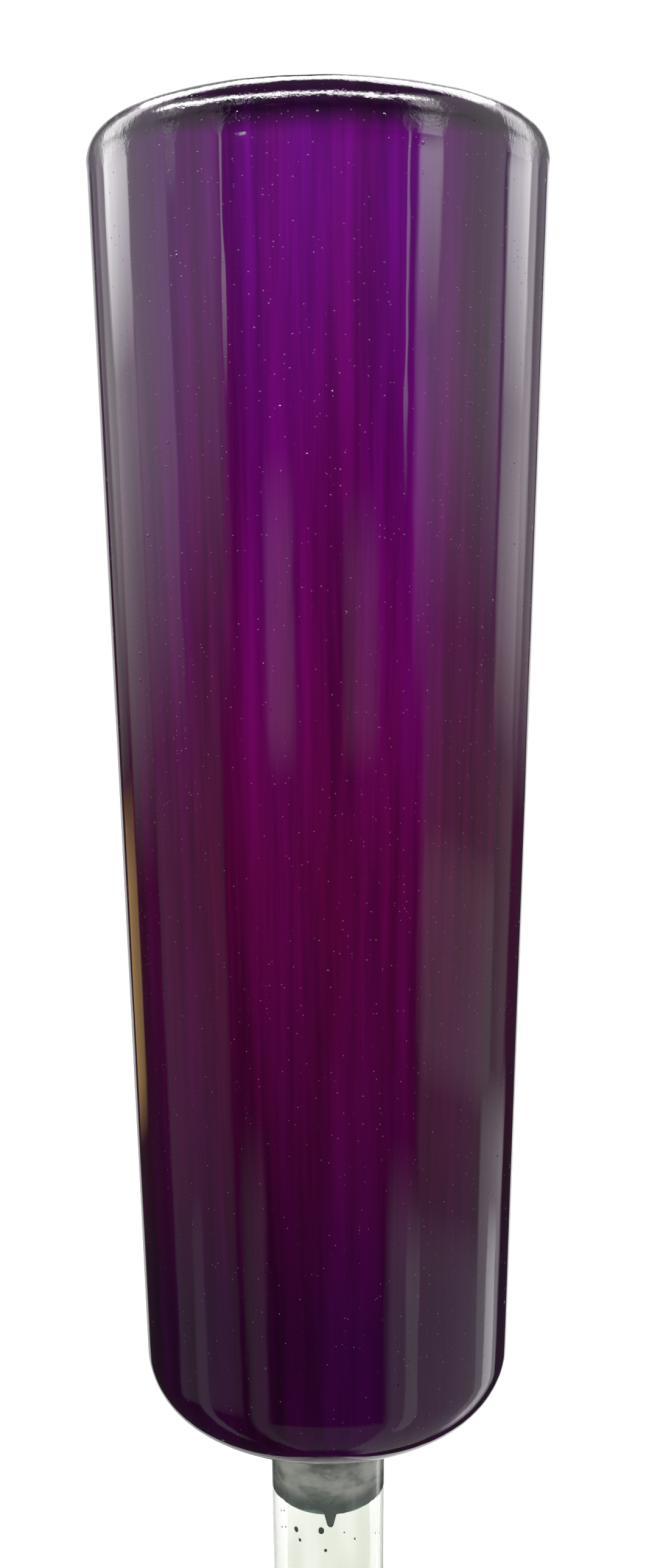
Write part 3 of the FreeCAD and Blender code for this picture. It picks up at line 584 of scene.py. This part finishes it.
class CLUB_OT_drum(bpy.types.Operator):
    """Spins the lacquered drum, from the hole in its base over the shoulder to the mouth in its crown"""
    bl_idname = "club.drum"
    bl_label = "Lacquered drum"

    def execute(self, context):
        sizes = context.scene.club_body
        base, corner = SHELL_LOW.z, COVER_TOP - sizes.crown_rise
        slope = (sizes.shoulder_radius - sizes.base_radius) / (corner - base)
        floor = base + sizes.base_floor
        underside = corner - sizes.cap_wall
        hole = TUBE_HIGH.x + 2 * sizes.fit_gap
        mouth = sizes.shoulder_radius - sizes.shoulder_rounding - sizes.lip_flat
        lip_end = mouth + sizes.edge_rounding / 2

        def inside_at(height):
            return sizes.base_radius - sizes.side_wall + slope * (height - base)

        shoulder, lip = crown_line(sizes, sizes.shoulder_radius, mouth, 1)
        mesh = turned([(hole, base), (sizes.base_radius, base), shoulder, lip, (mouth, underside),
                       (inside_at(underside), underside), (inside_at(floor), floor), (hole, floor)],
                      sizes.steps)
        round_rings(mesh, [(sizes.base_radius, base)], sizes.base_rounding, 18)
        round_rings(mesh, [(inside_at(floor), floor)], sizes.base_rounding - sizes.side_wall, 10)
        round_rings(mesh, [shoulder], sizes.shoulder_rounding, 16)
        round_rings(mesh, [(inside_at(underside), underside)], sizes.lip_rounding, 6)
        round_rings(mesh, [lip], sizes.edge_rounding / 2, 2)

        def is_outside(vertex):
            middle = inside_at(vertex.co.z) + sizes.side_wall / 2
            over_shoulder = vertex.co.z > underside and radius_of(vertex) > lip_end
            return over_shoulder or radius_of(vertex) > middle or vertex.co.z < floor - sizes.base_floor / 2

        def cut_up(shortest, lowest, cuts):
            """Subdivides the upright edges outside that are long enough and high enough."""
            edges = [edge for edge in mesh.edges
                     if rise_of(edge) > shortest and is_outside(edge.verts[0])
                     and min(vertex.co.z for vertex in edge.verts) > lowest]
            bmesh.ops.subdivide_edges(mesh, edges=edges, cuts=cuts, use_grid_fill=True)

        cut_up(shortest=0.2, lowest=base, cuts=90)
        cut_up(shortest=0.001, lowest=corner - 2.2 * sizes.shoulder_rounding, cuts=14)
        self.bead(mesh, sizes, corner - 1.02 * sizes.shoulder_rounding, is_outside)

        def settled(vertex):
            if not is_outside(vertex) or vertex.co.z > corner - 2 * sizes.shoulder_rounding:
                return 0
            return min(1, (vertex.co.z - base) / sizes.base_rounding)

        def gathered(vertex):
            above = (vertex.co.z - corner + 2 * sizes.shoulder_rounding) / sizes.shoulder_rounding
            from_lip = (radius_of(vertex) - lip_end) / sizes.edge_rounding
            return min(1, above, from_lip) if is_outside(vertex) else 0

        ripple(mesh, sizes.drum_ripple, per_metre=60, share_of=settled, stretch=0.5)
        ripple(mesh, sizes.shoulder_ripple, per_metre=170, share_of=gathered)
        drum = finished("lacquered_drum", mesh, candy_lacquer())
        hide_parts("body_shell")
        return {"FINISHED"}

    def bead(self, mesh, sizes, height, is_outside):
        """The uneven bead where lacquer that ran off the shoulder has set on the side."""
        for vertex in mesh.verts:
            if not is_outside(vertex) or abs(vertex.co.z - height) > 4 * sizes.bead_width:
                continue
            away = away_from_axis(vertex)
            swell = 0.7 + 0.5 * noise.noise(away * 25 + UP)
            offset = (vertex.co.z - height) / sizes.bead_width - wander(away, BEAD_WANDER)
            vertex.co += away * sizes.bead_height * swell * math.exp(-offset ** 2)


class CLUB_OT_cap(bpy.types.Operator):
    """Spins the crown cap, with its screw well and the skirt that goes down into the mouth"""
    bl_idname = "club.cap"
    bl_label = "Crown cap"

    def execute(self, context):
        sizes = context.scene.club_body
        underside = COVER_TOP - sizes.crown_rise - sizes.cap_wall
        rim = CAP_HIGH.x
        skirt = SEAL_INNER - sizes.fit_gap
        boss = sizes.well_radius + sizes.cap_wall
        crown = crown_line(sizes, rim, sizes.well_radius, 8)
        mesh = turned([(skirt, CAP_LOW.z), (skirt, SEAL_TOP), (rim, SEAL_TOP), *crown,
                       (sizes.well_radius, WASHER_BASE), (sizes.screw_hole, WASHER_BASE),
                       (sizes.screw_hole, DAMPER_TOP), (boss, DAMPER_TOP), (boss, underside),
                       (skirt - sizes.cap_wall, underside), (skirt - sizes.cap_wall, CAP_LOW.z)],
                      sizes.steps)
        round_rings(mesh, [crown[0]], sizes.edge_rounding / 2, 3)
        round_rings(mesh, [crown[-1]], sizes.edge_rounding, 4)

        def settled(vertex):
            if vertex.co.z < crown[0][1]:
                return 0
            from_well = radius_of(vertex) - sizes.well_radius
            from_rim = rim - radius_of(vertex)
            return max(0, min(1, from_well / 0.004 - 0.5, from_rim / 0.002 - 0.5))

        ripple(mesh, sizes.shoulder_ripple, per_metre=120, share_of=settled)
        cap = finished("crown_cap", mesh, candy_lacquer())
        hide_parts("top_cap")
        return {"FINISHED"}


# ---------------------------------------------------------------- handle

class CLUB_OT_handle(bpy.types.Operator):
    """Finishes the clear tube, and adds the flecks in its wall and the resin that wetted its bore"""
    bl_idname = "club.handle"
    bl_label = "Clear handle"

    def execute(self, context):
        sizes = context.scene.club_handle
        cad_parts["handle_tube"].data.materials[0] = clear_plastic()
        self.flecks(sizes)
        self.resin(sizes)
        return {"FINISHED"}

    def flecks(self, sizes):
        """Small dark flecks, scattered in the wall, and the few larger ones near the ferrule."""
        lots = random.Random(FLECK_SEED)
        mesh = bmesh.new()
        for _ in range(sizes.fleck_count):
            across = sizes.bore_radius + lots.uniform(*FLECK_DEPTH)
            height = lots.uniform(KNOB_HIGH.z + FLECK_END_GAP, SHELL_LOW.z - FLECK_END_GAP)
            turn = lots.uniform(0, 2 * math.pi)
            radius = lots.uniform(*FLECK_RADIUS)
            place = (Matrix.Rotation(turn, 4, "Z") @ Matrix.Translation((across, 0, height))
                     @ Matrix.Diagonal((0.6, 1, lots.uniform(*FLECK_LENGTH), 1)))
            bmesh.ops.create_icosphere(mesh, subdivisions=1, radius=radius, matrix=place)
        for turn, below, radius in LARGE_FLECKS:
            place = (Matrix.Rotation(math.radians(turn) - math.pi / 2, 4, "Z")
                     @ Matrix.Translation((sizes.bore_radius + 0.3 * radius, 0, FERRULE_TIP - below))
                     @ Matrix.Diagonal((0.4, 1, 1.4, 1)))
            bmesh.ops.create_icosphere(mesh, subdivisions=2, radius=radius, matrix=place)
        for vertex in mesh.verts:
            vertex.co += vertex.normal * 0.3 * FLECK_LUMP * noise.noise(vertex.co / FLECK_LUMP)
        grey = moulded("fleck_grey", (0.03, 0.03, 0.03), (0.08, 0.09, 0.08))
        finished("handle_flecks", mesh, grey)

    def resin(self, sizes):
        """The resin that wetted the bore above the ferrule's nose, and the one drip that ran on down."""
        wetted = sizes.bore_radius + sizes.resin_bite
        inner = sizes.bore_radius - sizes.resin_film
        low = FERRULE_TIP + sizes.resin_edge
        high = SHELL_LOW.z + sizes.resin_film
        mesh = turned([(inner, low), (wetted, low), (wetted, high), (inner, high)], steps=192)
        upright = [edge for edge in mesh.edges if rise_of(edge) > sizes.resin_film]
        bmesh.ops.subdivide_edges(mesh, edges=upright, cuts=40, use_grid_fill=True)
        for vertex in mesh.verts:
            turn = math.atan2(vertex.co.x, -vertex.co.y)
            drip = sizes.drip_length * math.exp(-((turn - sizes.drip_turn) / sizes.drip_width) ** 4)
            share = (high - vertex.co.z) / (high - low)
            vertex.co.z += (wander(away_from_axis(vertex), RESIN_WANDER) - drip) * share ** 3
        finished("set_resin", mesh, set_resin(low))


class CLUB_OT_knob(bpy.types.Operator):
    """Spins the rubber knob, with finger grooves round its neck"""
    bl_idname = "club.knob"
    bl_label = "Rubber knob"

    def execute(self, context):
        sizes = context.scene.club_handle
        body = context.scene.club_body
        widest, top, lobe = KNOB_HIGH.x, KNOB_HIGH.z, sizes.knob_lobe
        narrowing, rise = widest - sizes.knob_rim, top - lobe
        span = (rise ** 2 + narrowing ** 2) / (2 * narrowing)
        turn = math.atan2(rise, span - narrowing)
        bore = sizes.grip_radius + body.fit_gap
        round_edge = arc(widest - lobe, lobe, lobe, -math.pi / 2, turn, 24)
        hollow = arc(widest - lobe + span - narrowing, top, span - lobe, math.pi + turn, math.pi, 64)
        mesh = turned([(sizes.knob_well_radius, KNOB_LOW.z), *round_edge, *hollow[1:], (bore, top),
                       (bore, TUBE_LOW.z), (body.screw_hole, TUBE_LOW.z),
                       (body.screw_hole, KNOB_WASHER_TOP), (sizes.knob_well_radius, KNOB_WASHER_TOP)],
                      steps=128)
        edges = [(sizes.knob_rim, top), (sizes.knob_well_radius, KNOB_LOW.z)]
        round_rings(mesh, edges, body.edge_rounding, 4)
        grooves = [top - GROOVE_START - GROOVE_STEP * groove for groove in range(GROOVE_COUNT)]
        outside = bore + 2 * body.edge_rounding
        for vertex in mesh.verts:
            if radius_of(vertex) > outside:
                depth = sum(math.exp(-((vertex.co.z - groove) / GROOVE_WIDTH) ** 2) for groove in grooves)
                share = 1 - depth * sizes.groove_depth / radius_of(vertex)
                vertex.co.x *= share
                vertex.co.y *= share
        rubber = context.scene.club_finish.rubber
        lighter = [2 * channel for channel in rubber]
        finish = moulded("knob_rubber", rubber, lighter, rough=(0.45, 0.62), grain=0.00005)
        knob = finished("rubber_knob", mesh, finish)
        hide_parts("knob")
        return {"FINISHED"}


# ---------------------------------------------------------------- the pieces kept from the frame

class CLUB_OT_fittings(bpy.types.Operator):
    """Gives the covers, seals, collar, screws, dowel and discs their own finishes"""
    bl_idname = "club.fittings"
    bl_label = "Fittings"

    def execute(self, context):
        colours = context.scene.club_finish
        rubber = colours.rubber
        lighter = [1.8 * channel for channel in rubber]
        green = colours.ferrule_green
        pale_green = [2.6 * channel for channel in green]
        seal = moulded("seal_rubber", rubber, lighter, rough=(0.5, 0.7), grain=0.00003)
        cover = moulded("cover_plastic", (0.016, 0.002, 0.020), (0.030, 0.004, 0.038), rough=(0.22, 0.34))
        inner = moulded("inner_plastic", (0.55, 0.55, 0.52), (0.68, 0.68, 0.65), rough=(0.4, 0.55))
        ferrule = moulded("ferrule_plastic", green, pale_green, rough=(0.12, 0.3), per_metre=150)
        steel = lathe_metal("screw_steel", (0.42, 0.42, 0.43), (0.62, 0.62, 0.63), roughness=0.24)
        zinc = lathe_metal("washer_steel", (0.50, 0.51, 0.53), (0.68, 0.69, 0.71), roughness=0.30)
        aluminium = lathe_metal("collar_aluminium", (0.70, 0.71, 0.72), (0.86, 0.86, 0.87), roughness=0.26)
        ash = long_grain_wood("dowel_wood", (0.62, 0.42, 0.24), (0.42, 0.25, 0.12))
        balsa = long_grain_wood("disc_wood", (0.74, 0.58, 0.38), (0.56, 0.40, 0.24))
        finishes = {
            seal: ["cap_gasket", "neck_gasket", "dowel_damper"],
            cover: ["well_cover"],
            inner: ["mouth_ring", "clamp_ring"],
            ferrule: ["dowel_ferrule"],
            steel: ["cap_screw", "handle_pins", "grub_screws", "collar_screws", "insert_pin", "knob_screw"],
            zinc: ["cap_washer", "knob_washer"],
            aluminium: ["neck_collar"],
            ash: ["core_dowel", "knob_insert"],
            balsa: ["centring_disc"],
        }
        for finish, names in finishes.items():
            for name in names:
                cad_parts[name].data.materials[0] = finish
        return {"FINISHED"}


# ---------------------------------------------------------------- stage

FLOOR_REACH = 6
FILM_WIDTH = 36

# Soft boxes and windows round the club, as gloss sees them.  Azimuth runs from the front to the right, from
# its start once round, and elevation up, both in degrees.  Where two overlap, the brighter one counts.
AZIMUTH_START = -150.0
SOFTNESS_ABOVE = 5
WHITE, WARM, COOL = (1.0, 1.0, 1.0), (1.0, 0.66, 0.22), (0.95, 0.92, 1.0)
LIGHTS = [
    # azimuth from, to, softness; elevation from, to, softness below; radiance, colour
    (-127, -107, 4, 15, 55, 13, 6.0, WHITE),
    (-127, -107, 5, 9, 55, 22, 1.6, WHITE),
    (-137, -127, 8, 6, 55, 14, 1.0, WHITE),
    (-104, -79, 3, 8, 45, 20, 1.45, WHITE),
    (-77, -73, 2.5, 16, 45, 8, 3.2, WHITE),
    (-79, -54, 10, 10, 40, 20, 0.9, WHITE),
    (-47.8, -46.8, 0.6, 9, 24, 6, 3.0, WHITE),
    (-104, -58, 4, -30, 0, 5, 0.2, WHITE),
    (-150, -134, 4, -17, -11, 3, 0.8, WARM),
    (-88, -82, 5, -50, -25, 20, 0.40, COOL),
    (-48, -40, 6, -75, -25, 10, 0.30, COOL),
    (-40, 40, 20, -75, -38, 10, 0.22, COOL),
    (-150, -137, 6, 0, 55, 10, 0.35, WHITE),
    (-26, -18, 6, -7, -2, 3, 0.45, WHITE),
    (14, 26, 6, -7, -3, 3, 0.30, WHITE),
    (43.2, 44.0, 0.6, 6, 24, 6, 2.4, WHITE),
    (51, 59, 4, 17, 40, 15, 5.5, WHITE),
    (51, 101, 4, 9, 45, 18, 1.2, WHITE),
    (108, 126, 5, 16, 50, 18, 5.0, WHITE),
    (108, 126, 5, 2, 50, 12, 1.7, WHITE),
    (124, 134, 6, 6, 50, 16, 1.5, WHITE),
    (134, 150, 8, 0, 50, 10, 0.35, WHITE),
    (58, 128, 6, -30, 10, 5, 0.27, WHITE),
    (60, 110, 8, -18, -13, 4, 0.60, COOL),
    (42, 126, 9, -75, -26, 10, 0.55, COOL),
    (50, 57, 4, -45, -27, 15, 1.1, COOL),
    (108, 132, 5, -45, -21, 15, 0.9, COOL),
    (118, 127, 4, -45, -25, 15, 2.2, COOL),
    (-84, 53, 8, 29, 34, 2, 26.0, WHITE),
    (-38, -34.5, 1.5, 15.6, 17.6, 1, 9.0, COOL),
    (44, 48, 2, 16, 18, 1.5, 5.0, WHITE),
    (150, 210, 10, 56, 80, 4, 12.0, WHITE),
    (106, 150, 8, 44, 78, 5, 10.0, WHITE),
    (-150, -110, 8, 44, 78, 5, 10.0, WHITE),
    (160, 176, 4, -75, 60, 5, 1.2, WHITE),
    (188, 202, 4, -75, 60, 5, 0.7, WHITE),
]


class CLUB_OT_stage(bpy.types.Operator):
    """Sets the camera, the pale floor and the soft light"""
    bl_idname = "club.stage"
    bl_label = "Stage"

    def execute(self, context):
        self.camera(context.scene)
        self.floor(context.scene)
        self.light(context.scene)
        context.scene.view_settings.view_transform = "Standard"
        return {"FINISHED"}

    def camera(self, scene):
        """The camera in front of the drum, turned down and a little to the side."""
        stage = scene.club_stage
        lens = bpy.data.cameras.new("camera")
        lens.sensor_width = FILM_WIDTH
        lens.lens = stage.focal_length
        lens.clip_start = 0.01
        camera = bpy.data.objects.new("camera", lens)
        scene.collection.objects.link(camera)
        place = Matrix.Translation((0, -stage.camera_distance, SHELL_LOW.z + stage.camera_lift))
        level = Matrix.Rotation(math.pi / 2 - stage.camera_pitch, 4, "X")
        camera.matrix_world = (place @ Matrix.Rotation(-stage.camera_yaw, 4, "Z") @ level
                               @ Matrix.Rotation(-stage.camera_roll, 4, "Z"))
        scene.camera = camera

    def floor(self, scene):
        """Pale paper with a faint fibre, left out of what gloss and matt surfaces see."""
        mesh = bmesh.new()
        bmesh.ops.create_grid(mesh, x_segments=1, y_segments=1, size=FLOOR_REACH)
        data = bpy.data.meshes.new("floor")
        mesh.to_mesh(data)
        mesh.free()
        paper = Finish("floor_paper")
        fibres = paper.cloud(per_metre=40, detail=4)
        colour = paper.mix(fibres, (0.90, 0.90, 0.90), (0.93, 0.93, 0.93))
        data.materials.append(paper.done(Base_Color=colour, Roughness=0.9, Emission_Color=(1.0, 1.0, 1.0),
                                         Emission_Strength=scene.club_stage.floor_glow))
        floor = bpy.data.objects.new("floor", data)
        scene.collection.objects.link(floor)
        floor.visible_glossy = False
        floor.visible_diffuse = False

    def light(self, scene):
        """The room: gloss sees the soft boxes, matt surfaces get soft light, and behind all is white."""
        world = bpy.data.worlds.new("studio")
        scene.world = world
        world.use_nodes = True
        world.cycles.sampling_method = "NONE"
        room = Nodes(world.node_tree)
        way = room.add("ShaderNodeSeparateXYZ",
                       {"Vector": room.add("ShaderNodeTexCoord").outputs["Generated"]}).outputs
        to_front = room.times(way["Y"], -1.0)
        soft = self.soft_light(room, way, to_front, scene.club_stage)
        boxes = self.soft_boxes(room, way, to_front)
        path = room.add("ShaderNodeLightPath").outputs
        mirrored = room.times(path["Is Glossy Ray"],
                              room.calc("SUBTRACT", 1.0, path["Is Transmission Ray"]))
        plain = room.add("ShaderNodeMix", {0: path["Is Diffuse Ray"], 2: 1.0, 3: soft}, data_type="FLOAT")
        level = room.mix(mirrored, plain.outputs[0], boxes)
        background = room.add("ShaderNodeBackground", {"Color": level, "Strength": 1.0})
        room.add("ShaderNodeOutputWorld", {"Surface": background.outputs["Background"]})

    def soft_boxes(self, room, way, to_front):
        """The dim room and the lights in it, the brightest of them at each azimuth and elevation."""
        turn = room.calc("DEGREES", room.calc("ARCTAN2", way["X"], to_front))
        azimuth = room.calc("ADD", turn, room.times(room.calc("LESS_THAN", turn, AZIMUTH_START), 360.0))
        elevation = room.calc("DEGREES", room.calc("ARCSINE", way["Z"]))
        dim = room.spread(elevation, low=2, high=14, new_low=0.02, new_high=0.14)
        seen = room.add("ShaderNodeCombineXYZ", {"X": dim, "Y": dim, "Z": dim}).outputs["Vector"]
        for left, right, side_softness, low, high, softness_below, radiance, colour in LIGHTS:
            across = room.times(room.spread(azimuth, left - side_softness, left, smooth=True),
                                room.spread(azimuth, right + side_softness, right, smooth=True))
            upright = room.times(room.spread(elevation, low - softness_below, low, smooth=True),
                                 room.spread(elevation, high + SOFTNESS_ABOVE, high, smooth=True))
            full = [channel * radiance for channel in colour]
            glow = room.vector("SCALE", {0: full, 3: room.times(across, upright)})
            seen = room.vector("MAXIMUM", {0: seen, 1: glow})
        return seen

    def soft_light(self, room, way, to_front, stage):
        """The light on matt surfaces: even, with more from the front, from behind and from above."""
        from_front = room.calc("POWER", room.most(to_front, 0.0), 3.0)
        from_back = room.calc("POWER", room.most(way["Y"], 0.0), 3.0)
        from_above = room.calc("POWER", room.most(way["Z"], 0.0), 8.0)
        level_light = room.calc("MULTIPLY_ADD", from_front, stage.front_light,
                                room.times(from_back, stage.back_light))
        high_light = room.calc("MULTIPLY_ADD", from_above, stage.top_light, stage.ambient)
        return room.calc("ADD", level_light, high_light)


# ---------------------------------------------------------------- add-on

OPERATORS = [CLUB_OT_drum, CLUB_OT_cap, CLUB_OT_handle, CLUB_OT_knob, CLUB_OT_fittings, CLUB_OT_stage]


class CLUB_PT_sidebar(bpy.types.Panel):
    """The club's pieces, sizes and colours"""
    bl_idname = "CLUB_PT_sidebar"
    bl_label = "Juggling club"
    bl_space_type = "VIEW_3D"
    bl_region_type = "UI"
    bl_category = "Club"

    def draw(self, context):
        for operator in OPERATORS:
            self.layout.operator(operator.bl_idname)
        for group in GROUPS:
            box = self.layout.box()
            sizes = getattr(context.scene, group)
            for name in sizes.bl_rna.properties.keys():
                if name not in ("rna_type", "name"):
                    box.prop(sizes, name)


def register():
    for group, kind in GROUPS.items():
        bpy.utils.register_class(kind)
        setattr(bpy.types.Scene, group, bpy.props.PointerProperty(type=kind))
    for kind in [*OPERATORS, CLUB_PT_sidebar]:
        bpy.utils.register_class(kind)


def unregister():
    for kind in [CLUB_PT_sidebar, *OPERATORS]:
        bpy.utils.unregister_class(kind)
    for group, kind in GROUPS.items():
        delattr(bpy.types.Scene, group)
        bpy.utils.unregister_class(kind)


def main():
    register()
    bpy.ops.club.drum()
    bpy.ops.club.cap()
    bpy.ops.club.handle()
    bpy.ops.club.knob()
    bpy.ops.club.fittings()
    bpy.ops.club.stage()


if __name__ == "__main__":
    main()
